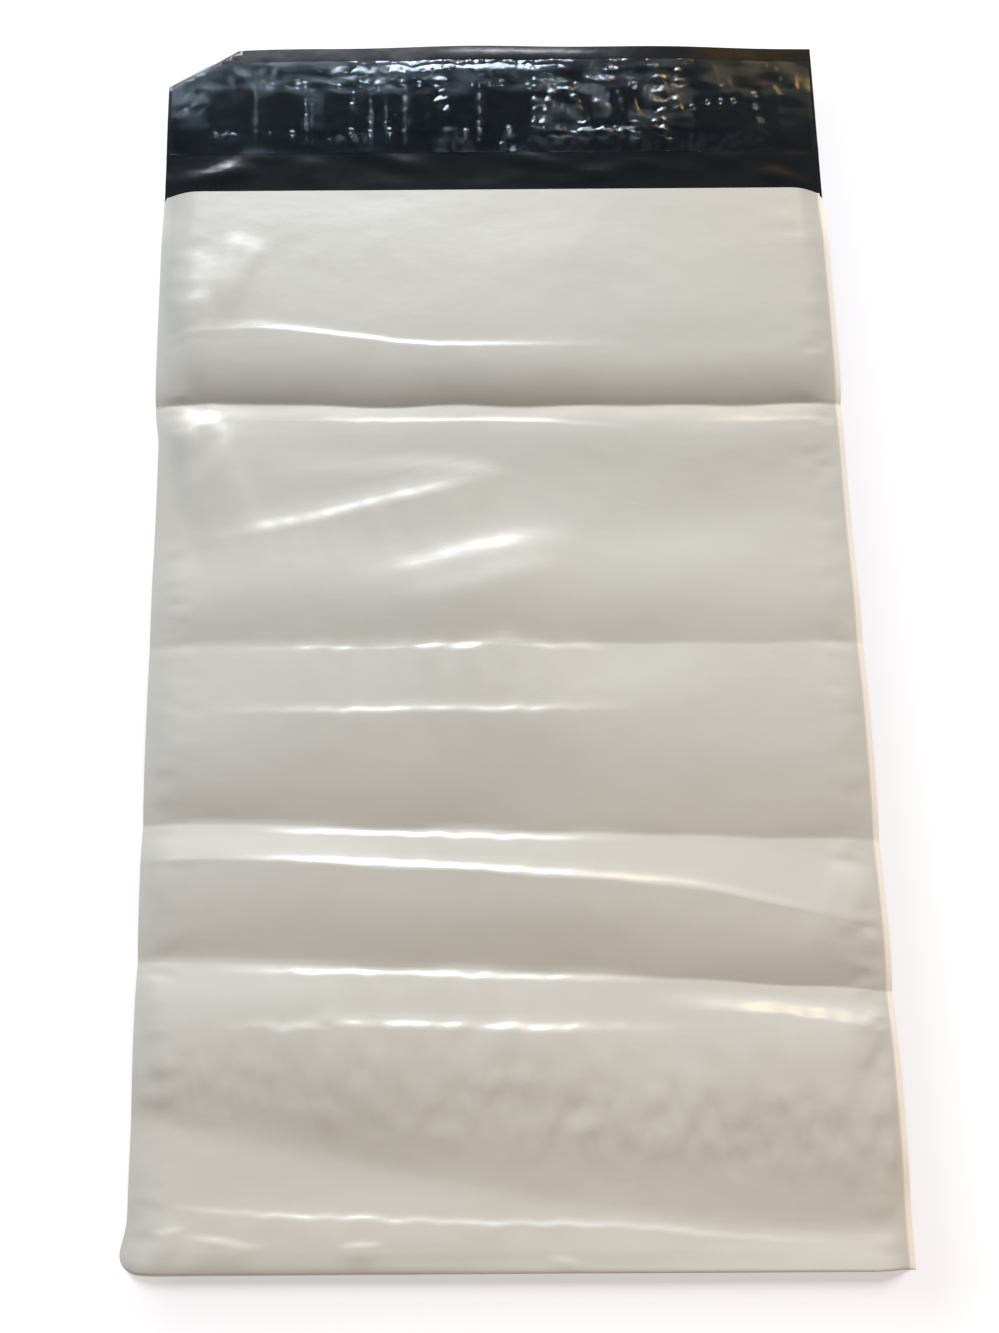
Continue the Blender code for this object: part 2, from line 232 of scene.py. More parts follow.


# %% [markdown]
# Creases are thin ridges that the window draws as bright lines. They could be drawn as a bump in
# the material, but then the meshes would lack them, so they are real shape. Each is a few points
# that it passes through, how steep its lit side is, a width in millimetres, how crumpled it is and
# where it is brightest. The side on the left hand, as one walks along the points, is the steep one.
# The other side fades out slowly, as film does beside a sharp bend. Only slopes of 15 degrees, near
# the flap, to 45, near the bottom, mirror the window into the camera. The lines were measured on
# the photograph. The dents beside them are placed one by one.

# %% Creases
creases = (
    # points (across, from the bottom), steepness, width, crumple, brightest share of the way
    (((-97, 251), (-80, 254), (-64, 253.8), (-40, 250.8), (-22, 248.6), (10, 248.2), (44, 248.6)),
     0.29, 1.4, 0.1, 0.3),
    (((-64, 226.9), (-30, 226.5), (4, 226.3), (24, 225.2), (45, 223.8)), 0.2, 1, 0.2, 0.55),
    (((52, 225.8), (84, 226), (99, 226.3)), 0.16, 1, 0.2, 0.7),
    (((-74, 209.4), (-54, 211.6), (-36, 212.4), (-20, 212.6), (-6, 211.4), (5, 208)), 0.36, 1.9, 0.1, 0.6),
    (((-88, 189.4), (-66, 193.4), (-53, 195.8), (-35, 200.6), (-18, 204.2), (-5, 208.2),
      (6, 212.4)),
     0.32, 3.8, 0.2, 0.45),
    (((-46, 177.6), (-26, 180.4), (-10, 185), (8, 188.4), (26, 190)), 0.19, 4.2, 0.15, 0.5),
    (((-34, 172.4), (-14, 174.6), (4, 179.2), (20, 183)), 0.17, 4, 0.15, 0.5),
    (((-86, 158.4), (-50, 158.6), (-30, 158.9), (-12, 158.4), (-4, 159.6), (-1, 160.7), (3, 159.6),
      (8, 158.8), (34, 158.4)),
     0.42, 1.9, 0.5, 0.7),
    (((-90, 141.8), (-50, 141), (-20, 141.2), (0, 141), (38, 141.6)), 0.47, 1.7, 0.25, 0.6),
    (((-78, 109.4), (-40, 108.2), (0, 106.8), (40, 106)), 0.42, 1.3, 0.2, 0.5),
    (((-86, 102.4), (-30, 99.9), (-2, 98.3), (33, 95.7), (52, 93.6), (75, 88.6), (98, 83.3)),
     0.52, 1.6, 0.2, 0.4),
    (((-86, 72.8), (-30, 71.8), (0, 70.6), (50, 69.4)), 0.63, 1.4, 0.3, 0.45),
    (((-100, 70.4), (-91, 71)), 0.6, 1, 0.2, 0.3),
    (((-84, 59.3), (-60, 58.9), (-44, 59.6), (-30, 59.6), (-10, 58.7), (10, 58.2), (52, 57.4)),
     0.74, 1.6, 0.5, 0.45),
    (((34, 64.6), (55, 62.9), (70, 61.6), (80, 60.4), (96, 58.4)), 0.74, 2.2, 0.2, 0.75),
    (((89, 58), (95, 61), (99, 58.5), (99, 55.5), (94, 53.4)), 0.8, 1.2, 0.3, 0.5),
    (((84, 100), (92, 96), (98.5, 92.6)), 0.5, 1.4, 0.2, 0.5),
    (((98, 76), (95, 81), (99, 86)), 0.5, 1.4, 0.2, 0.5),
    (((-94, 16.8), (-73, 14.2), (-40, 12.7), (-4, 11.4), (25, 10.7), (45, 8.8), (59, 7.5),
      (94, 5.8)),
     0.8, 0.8, 0.3, 0.3),
    (((-93, 10), (-84, 10.8)), 0.8, 0.7, 0.3, 0.5),
    (((-85, 9.4), (-75, 8.2), (-63, 6.4)), 0.8, 0.7, 0.3, 0.5),
    (((-45, 6.8), (-34, 7.4)), 0.8, 0.7, 0.3, 0.5),
    (((8, 3.8), (18, 1.6)), 0.8, 0.7, 0.3, 0.5),
    (((-100, 209.3), (-92, 209.8), (-86, 211.8), (-80.5, 218), (-78.8, 225), (-78.6, 232)),
     0.36, 1.6, 0.1, 0.5),
    (((-100, 220.2), (-90, 223.6), (-80, 227.8)), 0.34, 3.4, 0.2, 0.5),
    (((-90, 284), (-95, 277), (-97.5, 268), (-96.5, 256)), 0.32, 1.8, 0.2, 0.5),
    (((-97, 260), (-90, 262), (-82, 263)), 0.2, 3, 0.1, 0.5),
    (((-84, 282.4), (-76, 280.4), (-67, 276)), 0.12, 3.6, 0.3, 0.5),
)
steepest_of_bell = 0.858
gentle_side = 0.09
bell_reach = 2.6
crease_seed = 100
dents = (
    # centre (across, from the bottom), reach (along, across), turn in degrees, height
    ((-88, 268), (14, 9), 10, 0.8),
    ((-90, 221), (11, 9), -12, 0.8),
    ((2, 184), (24, 11), 14, 0.9),
    ((-49, 61.5), (3, 1.4), 10, 0.5),
    ((96, 40), (4, 2.6), 60, 0.5),
)
print("creases:", len(creases), "dents:", len(dents))


def drawn_line(points, steps=6):
    """A smooth line through the points, as short straight pieces, in metres."""
    points = np.array(points, dtype=float) * MM
    knots = np.arange(len(points), dtype=float)
    fine = np.linspace(0.0, len(points) - 1.0, (len(points) - 1) * steps + 1)
    curve = np.interp if len(points) < 3 else smooth_curve
    return np.stack([curve(fine, knots, points[:, i]) for i in (0, 1)], axis=-1)


def beside_line(x, y, line):
    """Each point's distance from the line, above 0 on its left hand, and how far along it is."""
    nearest = np.full_like(x, np.inf)
    signed = np.zeros_like(x)
    along = np.zeros_like(x)
    travelled = 0.0
    for (ax, ay), (bx, by) in zip(line[:-1], line[1:]):
        dx, dy = bx - ax, by - ay
        length = math.hypot(dx, dy)
        t = clamp(((x - ax) * dx + (y - ay) * dy) / length**2)
        away = np.hypot(x - ax - t * dx, y - ay - t * dy)
        side = (dx * (y - ay) - dy * (x - ax)) / length
        closer = away < nearest
        nearest = np.where(closer, away, nearest)
        signed = np.where(closer, np.where(side >= 0, away, -away), signed)
        along = np.where(closer, travelled + t * length, along)
        travelled += length
    return signed, along, travelled


def relief_of_creases(x, s):
    """Height of the creases. Each fades at its two ends and is pinched where it is crumpled."""
    height = np.zeros_like(x)
    for seed, (points, steepness, width, crumple, brightest) in enumerate(creases, crease_seed):
        line = drawn_line(points)
        rise = steepness * width / steepest_of_bell
        reach = bell_reach * width * MM / gentle_side
        near = (x > line[:, 0].min() - reach) & (x < line[:, 0].max() + reach)
        near &= (s > line[:, 1].min() - reach) & (s < line[:, 1].max() + reach)
        if not near.any():
            continue
        away, along, length = beside_line(x[near], s[near], line)
        way = along / length
        mask = smooth(quarter(way / brightest)) * smooth(quarter((1.0 - way) / (1.0 - brightest)))
        shift = crumple * 0.6 * MM * ripples(along, 0 * along, seed, 8 * MM, 1.0)
        pinched = np.tanh(ripples(along, away, seed + 50, 8 * MM, 60 * MM))
        pinch = 1.0 - crumple * (0.5 + 0.5 * pinched * bell(away / (4 * width * MM)))
        across = (away + shift) / (width * MM)
        shape = np.where(across > 0, bell(across), bell(across * gentle_side))
        height[near] += rise * MM * mask * pinch * shape
    return height


def relief_of_dents(x, s):
    height = np.zeros_like(x)
    for centre, reach, turn, rise in dents:
        dx, ds = x - centre[0] * MM, s - centre[1] * MM
        angle = math.radians(turn)
        along = dx * math.cos(angle) + ds * math.sin(angle)
        across = ds * math.cos(angle) - dx * math.sin(angle)
        height += rise * MM * bell(along / (reach[0] * MM)) * bell(across / (reach[1] * MM))
    return height


# %% [markdown]
# The rest is random, but each kind has its own scale. The adhesive strip of the folded bag pressed
# a band of short wrinkles into the lower part, the welds pucker the two edges, and film that
# nothing holds taut is never quite even. Nobody would place these by hand, so they are sums of
# waves with fixed seeds, and come out the same each time.

# %% Wrinkles
imprint_middle = (46.5, 44.5, 40.0, 35.5, 31.0)
imprint_reach = 12 * MM
imprint_height = 0.085 * MM
pucker_from = 0.84
pucker_height = 0.14 * MM
extra_pucker = 0.22 * MM
extra_puckers = ((92 * MM, 13 * MM), (52 * MM, 15 * MM))
slow_height = 0.11 * MM
fine_height = 0.012 * MM


def relief_of_wrinkles(x, s):
    middle = smooth_curve(x, stations, np.array(imprint_middle) * MM)
    band = bell((s - middle) / imprint_reach)
    rightness = 0.6 + 0.7 * smooth((x + 60 * MM) / (110 * MM))
    pressed = ripples(x, s, 7, 4.5 * MM, 13 * MM) + ripples(x, s, 8, 12 * MM, 10 * MM)
    imprint = imprint_height * band * rightness * pressed
    edge = clamp((np.abs(x) / half_width - pucker_from) / (1.0 - pucker_from))
    pinched = (x > 0) * sum(bell((s - place) / reach) for place, reach in extra_puckers)
    puckers = (pucker_height + extra_pucker * pinched) * edge * ripples(x, s, 5, 11 * MM, 7 * MM)
    calmer_at_mouth = 1.0 - 0.65 * smooth((s - 235 * MM) / (30 * MM))
    slow = slow_height * calmer_at_mouth * ripples(x, s, 3, 70 * MM, 32 * MM)
    fine = fine_height * ripples(x, s, 4, 14 * MM, 9 * MM)
    return imprint + puckers + slow + fine


# %% [markdown]
# The two side welds hold the layers together, so the front panel swells only inside them. The
# flap lies on the table apart from a slight lift at its end. Its left corner is turned under, and
# the flap rides up on it. The left edge of the bag steps in at the main fold and flares at the
# bottom, where the corner has rolled round. One function takes each point of the flat sheet to its
# place. Separate panels would be easier to make, but their joins would show in thin film.

# %% How the sheet lies
end_run = 6 * MM
mouth_rest = 12 * MM
flap_wave = 0.5 * MM
flap_wave_length = 62 * MM
flap_end_lift = 2.0 * MM
ridge_from, ridge_to, ridge_fade = -24 * MM, 44 * MM, 20 * MM
ridge_at, ridge_width, ridge_height = 46.3 * MM, 0.9 * MM, 0.16 * MM
uneven_height = 0.2 * MM
least_gap = 0.15 * MM
corner_width = 21 * MM
corner_length = 12 * MM
turn_radius = 0.25 * MM
turn_blend = 16 * MM
edge_step = 1.3 * MM
edge_step_run = 12 * MM
edge_step_top = 232 * MM
bottom_flare = 2.4 * MM
flare_run = 14 * MM
corner_diagonal = math.hypot(corner_width, corner_length)


def corner_side(x, beyond):
    """Distance past the line where the flap's corner turns under, below 0 on the flap."""
    dx = corner_width - half_width - x
    dy = beyond - flap_length
    return (dx * corner_length + dy * corner_width) / corner_diagonal


def flap_height(x, beyond):
    run = smooth(beyond / flap_length)
    wave = 0.5 - 0.5 * np.cos(2.0 * np.pi * (x + half_width) / flap_wave_length)
    middle = np.cos(0.5 * np.pi * clamp(np.abs(x) / half_width))
    span = smooth((x - ridge_from) / ridge_fade) * smooth((ridge_to - x) / ridge_fade)
    ridge = ridge_height * span * bell((beyond - ridge_at) / ridge_width)
    bare = smooth(beyond / (8 * MM)) * smooth((21 * MM - beyond) / (9 * MM))
    uneven = uneven_height * bare * np.maximum(ripples(x, beyond, 45, 30 * MM, 10 * MM), 0.0)
    lift = run * (flap_wave * wave + flap_end_lift * middle) + ridge + uneven
    hidden = corner_width * corner_length / corner_diagonal
    over_corner = 2.0 * turn_radius * (1.0 - smooth((-corner_side(x, beyond) - hidden) / turn_blend))
    return np.maximum(lift, over_corner)


def front_gap(x, s, back):
    """Inner face of the front panel over the inner face of the back panel."""
    fullness = quarter((half_width - weld_width - np.abs(x)) / shoulder)
    marks = relief_of_creases(x, s) + relief_of_dents(x, s) + relief_of_wrinkles(x, s)
    near_ends = smooth(s / end_run) * smooth((bag_length - s) / mouth_rest)
    middle = np.maximum(panel_height(x, s) + marks * near_ends - back, least_gap)
    rounding = np.sqrt(1.0 - (1.0 - clamp(s / fold_radius)) ** 2)
    return rounding * (weld_gap + (middle - weld_gap) * fullness)


def edge_shift(x, s):
    leftness = smooth(0.5 - x / bag_width)
    step = edge_step * (1.0 - smooth((s - edge_step_top + edge_step_run) / edge_step_run))
    flare = bottom_flare * (1.0 - smooth(s / flare_run))
    return leftness * (step - flare)


def round_corner(x, s):
    """Takes the square bottom left corner of the outline to an arc."""
    out = clamp((corner_radius - half_width - x) / corner_radius)
    down = clamp((corner_radius - s) / corner_radius)
    new_x = corner_radius - half_width - corner_radius * out * np.sqrt(1.0 - down**2 / 2.0)
    new_s = corner_radius - corner_radius * down * np.sqrt(1.0 - out**2 / 2.0)
    turned = (out > 0) & (down > 0)
    return np.where(turned, new_x, x), np.where(turned, new_s, s)


def lay_flap(x, beyond):
    side = corner_side(x, beyond)
    half_bend = 0.5 * np.pi * turn_radius
    angle = 0.5 * np.pi * (np.clip(side / half_bend, -1.0, 1.0) + 1.0)
    move = -half_bend + turn_radius * np.sin(angle) - side
    move = np.where(side > half_bend, -2.0 * side, np.where(side > -half_bend, move, 0.0))
    drop = turn_radius * (1.0 - np.cos(angle))
    new_x = x - move * corner_length / corner_diagonal
    new_beyond = beyond + move * corner_width / corner_diagonal
    height = film_thickness + flap_height(new_x, new_beyond) - drop
    return new_x, new_beyond, np.maximum(height, 0.0)


def lay_film(x, w):
    """Places of points of the flat sheet. w is 0 at the bottom fold, above 0 on the front panel."""
    in_x = np.clip(x, -half_width, half_width)
    s = np.minimum(np.abs(w), bag_length)
    back = film_thickness + back_lift(in_x, s)
    on_front = (w > 0) & (np.abs(x) <= half_width)
    height = back + np.where(on_front, front_gap(in_x, s, back), 0.0)
    new_x, new_s = round_corner(in_x, s)
    flap_x, beyond, flap_z = lay_flap(in_x, np.abs(w) - bag_length)
    on_flap = w < -bag_length - 1e-6
    new_x = np.where(on_flap, flap_x, new_x)
    new_s = np.where(on_flap, bag_length + beyond, new_s)
    height = np.where(on_flap, flap_z, height)
    shift = edge_shift(new_x, np.minimum(new_s, bag_length))
    return np.stack((new_x + shift, bottom_y + new_s, height), axis=-1)


# %% [markdown]
# The sheet starts flat, as three grids: the front and the flap are fine, and the back, which lies
# on the table, has few columns. The rows of the body follow the creases and lie close together
# beside them, so that the sharp shapes get the faces and the calm ones don't. A plain fine grid
# would do as well, but would need many more faces.

# %% Make the flat sheet
fine_spacing = 1.62 * MM
calm_spacing = 1.75 * MM
back_step = 10
flap_rows = 30
row_lines = (
    # distances from the bottom at the five stations, for the lines that the rows follow
    (0, 0, 0, 0, 0),
    (9.6, 7.8, 6, 3.8, 2.8),
    (16.4, 13.4, 11.3, 8.2, 5.6),
    (59.4, 59.2, 58.4, 61.5, 59.6),
    (73.4, 72.2, 70.6, 68.6, 66),
    (102.4, 101, 98.2, 93.8, 83),
    (109.8, 108.8, 107.2, 105.8, 104),
    (141.6, 141.1, 141, 141.8, 142),
    (158.2, 158.6, 159.6, 158.6, 158.4),
    (187, 196.4, 209.4, 213, 214),
    (226.6, 226.6, 226.2, 223.8, 226.3),
    (232.2, 232, 231.8, 231.8, 231.6),
    (251.8, 252.2, 248.4, 248.2, 248),
    (300, 300, 300, 300, 300),
)
beside_crease = (0.0, 0.36, 0.72, 1.1, 1.5, 2.0, 2.6)


def columns_across():
    inner = half_width - weld_width
    count = round(2 * inner / fine_spacing / back_step) * back_step
    within = np.linspace(-inner, inner, count + 1)
    return np.concatenate(([-half_width], within, [half_width]))


def rows_along():
    """Stations along the middle of the bag."""
    start = [0.0, 0.06 * MM, 0.16 * MM, fold_radius, 0.8 * MM, 1.5 * MM, 2.4 * MM, 3.4 * MM, 4.6 * MM]
    middles = [line[2] for line in row_lines[1:-1]]
    fine = [(middle + sign * off) * MM for middle in middles for off in beside_crease for sign in (-1, 1)]
    fixed = sorted({round(value, 7) for value in start + fine + [6 * MM, bag_length]})
    rows = []
    for low, high in zip(fixed, fixed[1:]):
        if rows and low - rows[-1] < 0.25 * MM and low > 1 * MM:
            continue
        parts = max(round((high - low) / calm_spacing), 1)
        rows.extend(low + (high - low) * k / parts for k in range(parts))
    return np.array(rows + [bag_length])


def bent_rows(x, s):
    """Flat distance from the bottom of a row at a place across the bag."""
    middle = lines_at(np.zeros(1), row_lines)
    return follow(s, middle, lines_at(x, row_lines))


def flat_sheet():
    """Vertices (across, along) and faces of the flat film, front above 0 and back below it."""
    cols, rows = columns_across(), rows_along()
    bead = half_width + weld_gap
    front_cols = np.concatenate(([-bead], cols, [bead]))
    coarse = np.concatenate((cols[:1], cols[1:-1:back_step], cols[-1:]))
    verts, faces = [], []

    def add_row(across, station, sign, on_flap=False):
        s = np.full_like(across, station)
        if not on_flap:
            s = bent_rows(np.clip(across, -half_width, half_width), s)
        verts.extend(zip(across, sign * s))

    def grid(across, along, sign, on_flap=False):
        start = len(verts)
        for station in along:
            add_row(across, station, sign, on_flap)
        wide = len(across)
        for j in range(len(along) - 1):
            for i in range(wide - 1):
                a = start + j * wide + i
                face = (a, a + 1, a + wide + 1, a + wide)
                faces.append(face if sign > 0 else face[::-1])

    def join(coarse_station, fine_station, toward_bottom):
        """One row of faces from a few columns to many."""
        start = len(verts)
        add_row(coarse, coarse_station, -1)
        base = len(verts)
        add_row(cols, fine_station, -1)
        for i in range(len(coarse) - 1):
            first = int(np.argmin(np.abs(cols - coarse[i])))
            last = int(np.argmin(np.abs(cols - coarse[i + 1])))
            face = [start + i, start + i + 1] + [base + k for k in range(last, first - 1, -1)]
            faces.append(tuple(face) if toward_bottom else tuple(face[::-1]))

    grid(front_cols, rows, 1)
    grid(coarse, rows[1:-1], -1)
    grid(cols, bag_length + np.linspace(0.0, flap_length, flap_rows), -1, on_flap=True)
    join(rows[1], 0.0, True)
    join(rows[-2], bag_length, False)
    return verts, faces


flat_verts, flat_faces = flat_sheet()
print("flat sheet:", len(flat_verts), "points,", len(flat_faces), "faces")


# %% [markdown]
# The flat grid is cut along the line of the turned corner before it is laid, because faces that
# cross a sharp turn would bend badly. A Solidify modifier then gives the film its real thickness,
# and puts the white outer side and the black inner side on different slots. Two sheets back to back
# would show both colours too, but would have no edge.


# %% Lay the sheet and give it its thickness
def cut_turned_corner(bm):
    normal = Vector((-corner_length, -corner_width, 0.0)) / corner_diagonal
    start = Vector((corner_width - half_width, -bag_length - flap_length, 0.0))
    half_bend = 0.5 * math.pi * turn_radius
    for share in (-1.0, -0.5, 0.0, 0.5, 1.0):
        on_flap = [face for face in bm.faces if face.calc_center_median().y < -bag_length]
        near = {vert for face in on_flap for vert in face.verts}
        edges = {edge for face in on_flap for edge in face.edges}
        bmesh.ops.bisect_plane(
            bm,
            geom=list(near) + list(edges) + on_flap,
            dist=1e-7,
            plane_co=start + normal * half_bend * share,
            plane_no=normal,
        )


sharp_angle = 55  # in degrees


def add_object(name, data, materials=()):
    for material in materials:
        data.materials.append(material)
    obj = bpy.data.objects.new(name, data)
    bpy.context.scene.collection.objects.link(obj)
    return obj


def applied(obj):
    """Replaces an object's mesh by what its modifiers make of it."""
    depsgraph = bpy.context.evaluated_depsgraph_get()
    mesh = bpy.data.meshes.new_from_object(obj.evaluated_get(depsgraph))
    obj.modifiers.clear()
    obj.data = mesh


def make_film(outside, inside):
    bm = bmesh.new()
    points = [bm.verts.new((x, w, 0.0)) for x, w in flat_verts]
    for face in flat_faces:
        bm.faces.new([points[i] for i in face])
    bmesh.ops.remove_doubles(bm, verts=bm.verts[:], dist=1e-7)
    cut_turned_corner(bm)
    flat = np.array([vert.co[:] for vert in bm.verts])
    laid = lay_film(flat[:, 0], flat[:, 1])
    for vert, place in zip(bm.verts, laid):
        vert.co = place
    bmesh.ops.remove_doubles(bm, verts=bm.verts[:], dist=1e-7)
    mesh = bpy.data.meshes.new("folded_film")
    bm.to_mesh(mesh)
    bm.free()
    film = add_object("folded_film", mesh, (outside, inside))
    wall = film.modifiers.new("wall", "SOLIDIFY")
    wall.thickness = film_thickness
    wall.offset = 1.0
    wall.material_offset = 1
    wall.material_offset_rim = 1
    applied(film)
    film.data.shade_smooth()
    film.data.set_sharp_from_angle(angle=math.radians(sharp_angle))
    return film


# %% [markdown]
# Materials could be wired by hand, but the finishes here share most of their nodes. One function
# turns a web colour into the linear values that shaders use, and one adds a node with its settings
# and links. The rest are short names for nodes that come up often.


# %% Helpers for materials
def linear(hex_colour):
    channels = [int(hex_colour[i : i + 2], 16) / 255 for i in (1, 3, 5)]
    return tuple(c / 12.92 if c <= 0.04045 else ((c + 0.055) / 1.055) ** 2.4 for c in channels) + (1.0,)


def add(tree, kind, settings=None, **links):
    """Adds a node. Settings are attributes or input values. A link is named for the input it feeds,
    or for the input's number, as in _0."""
    node = tree.nodes.new(kind)
    for name, value in (settings or {}).items():
        if isinstance(name, str) and hasattr(node, name):
            setattr(node, name, value)
        else:
            node.inputs[name].default_value = value
    for name, source in links.items():
        key = int(name[1:]) if name[1:].isdigit() else name.replace("_", " ")
        tree.links.new(source, node.inputs[key])
    return node


def new_material(name):
    material = bpy.data.materials.new(name)
    material.use_nodes = True
    material.node_tree.nodes.clear()
    return material, material.node_tree


def finish_material(tree, shader):
    output = tree.nodes.new("ShaderNodeOutputMaterial")
    tree.links.new(shader.outputs[0], output.inputs["Surface"])


def finish_plastic(tree, settings, **links):
    finish_material(tree, add(tree, "ShaderNodeBsdfPrincipled", settings, **links))


def ranged(tree, value, start=0.0, end=1.0, low=0.0, high=1.0, kind="LINEAR"):
    """Takes values between start and end to values between low and high."""
    ends = {"From Min": start, "From Max": end, "To Min": low, "To Max": high}
    return add(tree, "ShaderNodeMapRange", ends | {"interpolation_type": kind}, Value=value).outputs[0]


def bumped(tree, height, distance):
    return add(tree, "ShaderNodeBump", {"Strength": 1.0, "Distance": distance}, Height=height).outputs[0]


def maths(tree, operation, a, b=None):
    """A maths node on two inputs, each a socket or a number."""
    node = tree.nodes.new("ShaderNodeMath")
    node.operation = operation
    for socket, value in zip(node.inputs, (a, b)):
        if value is None:
            continue
        if isinstance(value, (int, float)):
            socket.default_value = value
        else:
            tree.links.new(value, socket)
    return node.outputs[0]


def noise(tree, place, scale, stretch=(1.0, 1.0, 1.0), detail=2.0):
    """Noise with its own stretch across, along and up, in features for each metre."""
    size = tuple(scale * part for part in stretch)
    mapped = add(tree, "ShaderNodeVectorMath", {"operation": "MULTIPLY", 1: size}, _0=place)
    settings = {"Scale": 1.0, "Detail": detail}
    return add(tree, "ShaderNodeTexNoise", settings, Vector=mapped.outputs[0]).outputs[0]


# %% [markdown]
# The outer film is low-density polythene filled with white pigment and blown into a tube, so its
# surface is glossy but not polished. A slow noise drifts its tone a little. The right welded edge is
# painted paler and cream, as it is in the photograph: partly the weld's own paler film, partly a
# painted highlight where light catches that side. The pressed band also has wrinkles that are too
# fine for the mesh, and they are left to the bump. An image texture could hold all this, but noise
# on the film's own coordinates stays sharp at any size.

# %% White film of the outside
# Painted highlight: the right weld's strip is painted pale cream, partly its own paler film, partly light
# caught on that side.
pale_weld_and_highlight = (half_width - 1.6 * MM, half_width - 1.0 * MM)
band_middle = bottom_y + 40 * MM
band_slant = 0.078
bump_height = 0.2 * MM


def white_film():
    material, tree = new_material("blown_white_polythene")
    place = add(tree, "ShaderNodeTexCoord").outputs["Object"]
    split = add(tree, "ShaderNodeSeparateXYZ", Vector=place)
    drift = noise(tree, place, 14.0, detail=3.0)
    tone = add(tree, "ShaderNodeValToRGB", Fac=drift)
    tone.color_ramp.elements[0].position = 0.1
    tone.color_ramp.elements[0].color = linear("#C8CCC7")
    tone.color_ramp.elements[1].position = 0.9
    tone.color_ramp.elements[1].color = linear("#CCD0CB")
    # Mask of the painted pale cream right edge: weld tone plus painted highlight.
    edge = ranged(tree, split.outputs["X"], *pale_weld_and_highlight)
    mix = {"data_type": "RGBA", 7: linear("#F4F1E6")}
    colour = add(tree, "ShaderNodeMix", mix, _0=edge, _6=tone.outputs["Color"])
    gloss = ranged(tree, drift, low=0.27, high=0.3)
    tilt = maths(tree, "MULTIPLY", split.outputs["X"], band_slant)
    slanted = maths(tree, "ADD", split.outputs["Y"], tilt)
    off_band = maths(tree, "ABSOLUTE", maths(tree, "SUBTRACT", slanted, band_middle))
    band = ranged(tree, off_band, 17 * MM, 3 * MM, kind="SMOOTHSTEP")
    deeper = ranged(tree, split.outputs["X"], -half_width, 50 * MM, low=0.55)
    wrinkles = noise(tree, place, 210.0, (1.0, 0.36, 1.0), detail=1.0)
    pressed = maths(tree, "MULTIPLY", wrinkles, band)
    pressed = maths(tree, "MULTIPLY", pressed, deeper)
    creased = noise(tree, place, 120.0, (1.0, 1.6, 1.0), detail=3.0)
    grain = noise(tree, place, 1500.0)
    fine = maths(tree, "ADD", maths(tree, "MULTIPLY", creased, 0.35), maths(tree, "MULTIPLY", grain, 0.02))
    relief = maths(tree, "ADD", maths(tree, "MULTIPLY", pressed, 3.0), fine)
    finish = {"IOR": 1.51, "Metallic": 0.0}
    bump = bumped(tree, relief, bump_height)
    finish_plastic(tree, finish, Base_Color=colour.outputs[2], Roughness=gloss, Normal=bump)
    return material


# %% [markdown]
# The inner layer is the same polythene with carbon black, which stops the contents showing
# through. It is smoother than the white one, so it mirrors the lamps more sharply. One material
# could ask which side it is on, but the film has real faces on both sides, so each gets its own.


# %% Black film of the inside
def black_film():
    material, tree = new_material("blown_black_polythene")
    place = add(tree, "ShaderNodeTexCoord").outputs["Object"]
    drift = noise(tree, place, 60.0, detail=3.0)
    gloss = ranged(tree, drift, low=0.12, high=0.2)
    finish = {"Base Color": linear("#0C1318"), "IOR": 1.51, "Metallic": 0.0}
    finish_plastic(tree, finish, Roughness=gloss, Normal=bumped(tree, drift, bump_height))
    return material


film = make_film(white_film(), black_film())
film_xs = [vert.co.x for vert in film.data.vertices]
centring = -(min(film_xs) + max(film_xs)) / 2
film.data.transform(Matrix.Translation((centring, 0.0, 0.0)))
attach(film, "root")
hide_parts("bag_film")
triangles = sum(len(face.vertices) - 2 for face in film.data.polygons)
print("film:", triangles, "triangles, moved by", round(1000 * centring, 2), "mm to centre it")

# %% [markdown]
# The adhesive is a band of hot melt, laid on the flap while soft. It is nearly black over the
# black film, and shines where its skin is smooth. A box would do for its shape, but a sheet that is
# laid on the flap by the flap's own height follows every wave of it.

# %% Adhesive band
seat_gap = 0.3 * MM
adhesive_from_mouth = 29.5 * MM
adhesive_width = 16 * MM
adhesive_thickness = 0.2 * MM
adhesive_left = 12.5 * MM - half_width
adhesive_right = half_width - 9.5 * MM


def flap_top(x, beyond):
    return film_thickness + flap_height(x, beyond)


def sheet_object(name, across, along, place, thickness, material):
    """A fine grid of faces laid by a function, with a wall of the given thickness."""
    xs, ys = np.meshgrid(across, along)
    points = place(xs.ravel(), ys.ravel())
    points[:, 0] += centring
    wide = len(across)
    faces = [
        (j * wide + i, j * wide + i + 1, (j + 1) * wide + i + 1, (j + 1) * wide + i)
        for j in range(len(along) - 1)
        for i in range(wide - 1)
    ]
    mesh = bpy.data.meshes.new(name)
    mesh.from_pydata(points.tolist(), [], faces)
    obj = add_object(name, mesh, (material,))
    if thickness:
        wall = obj.modifiers.new("wall", "SOLIDIFY")
        wall.thickness = thickness
        wall.offset = 1.0
        applied(obj)
    obj.data.shade_smooth()
    obj.data.set_sharp_from_angle(angle=math.radians(sharp_angle))
    return obj


def lay_adhesive(x, share):
    radius = adhesive_width / 2
    inset = clamp(np.minimum(x - adhesive_left, adhesive_right - x) / radius)
    narrowing = np.sqrt(1.0 - (1.0 - inset) ** 2) * 0.94 + 0.06
    ragged = 1.0 + 0.03 * ripples(x, share, 21, 9 * MM, 1.0)
    beyond = adhesive_from_mouth + adhesive_width * share * narrowing * ragged
    height = flap_top(x, beyond) + seat_gap + 0.02 * MM * ripples(x, beyond, 22, 6 * MM, 6 * MM)
    return np.stack((x, bottom_y + bag_length + beyond, height), axis=-1)


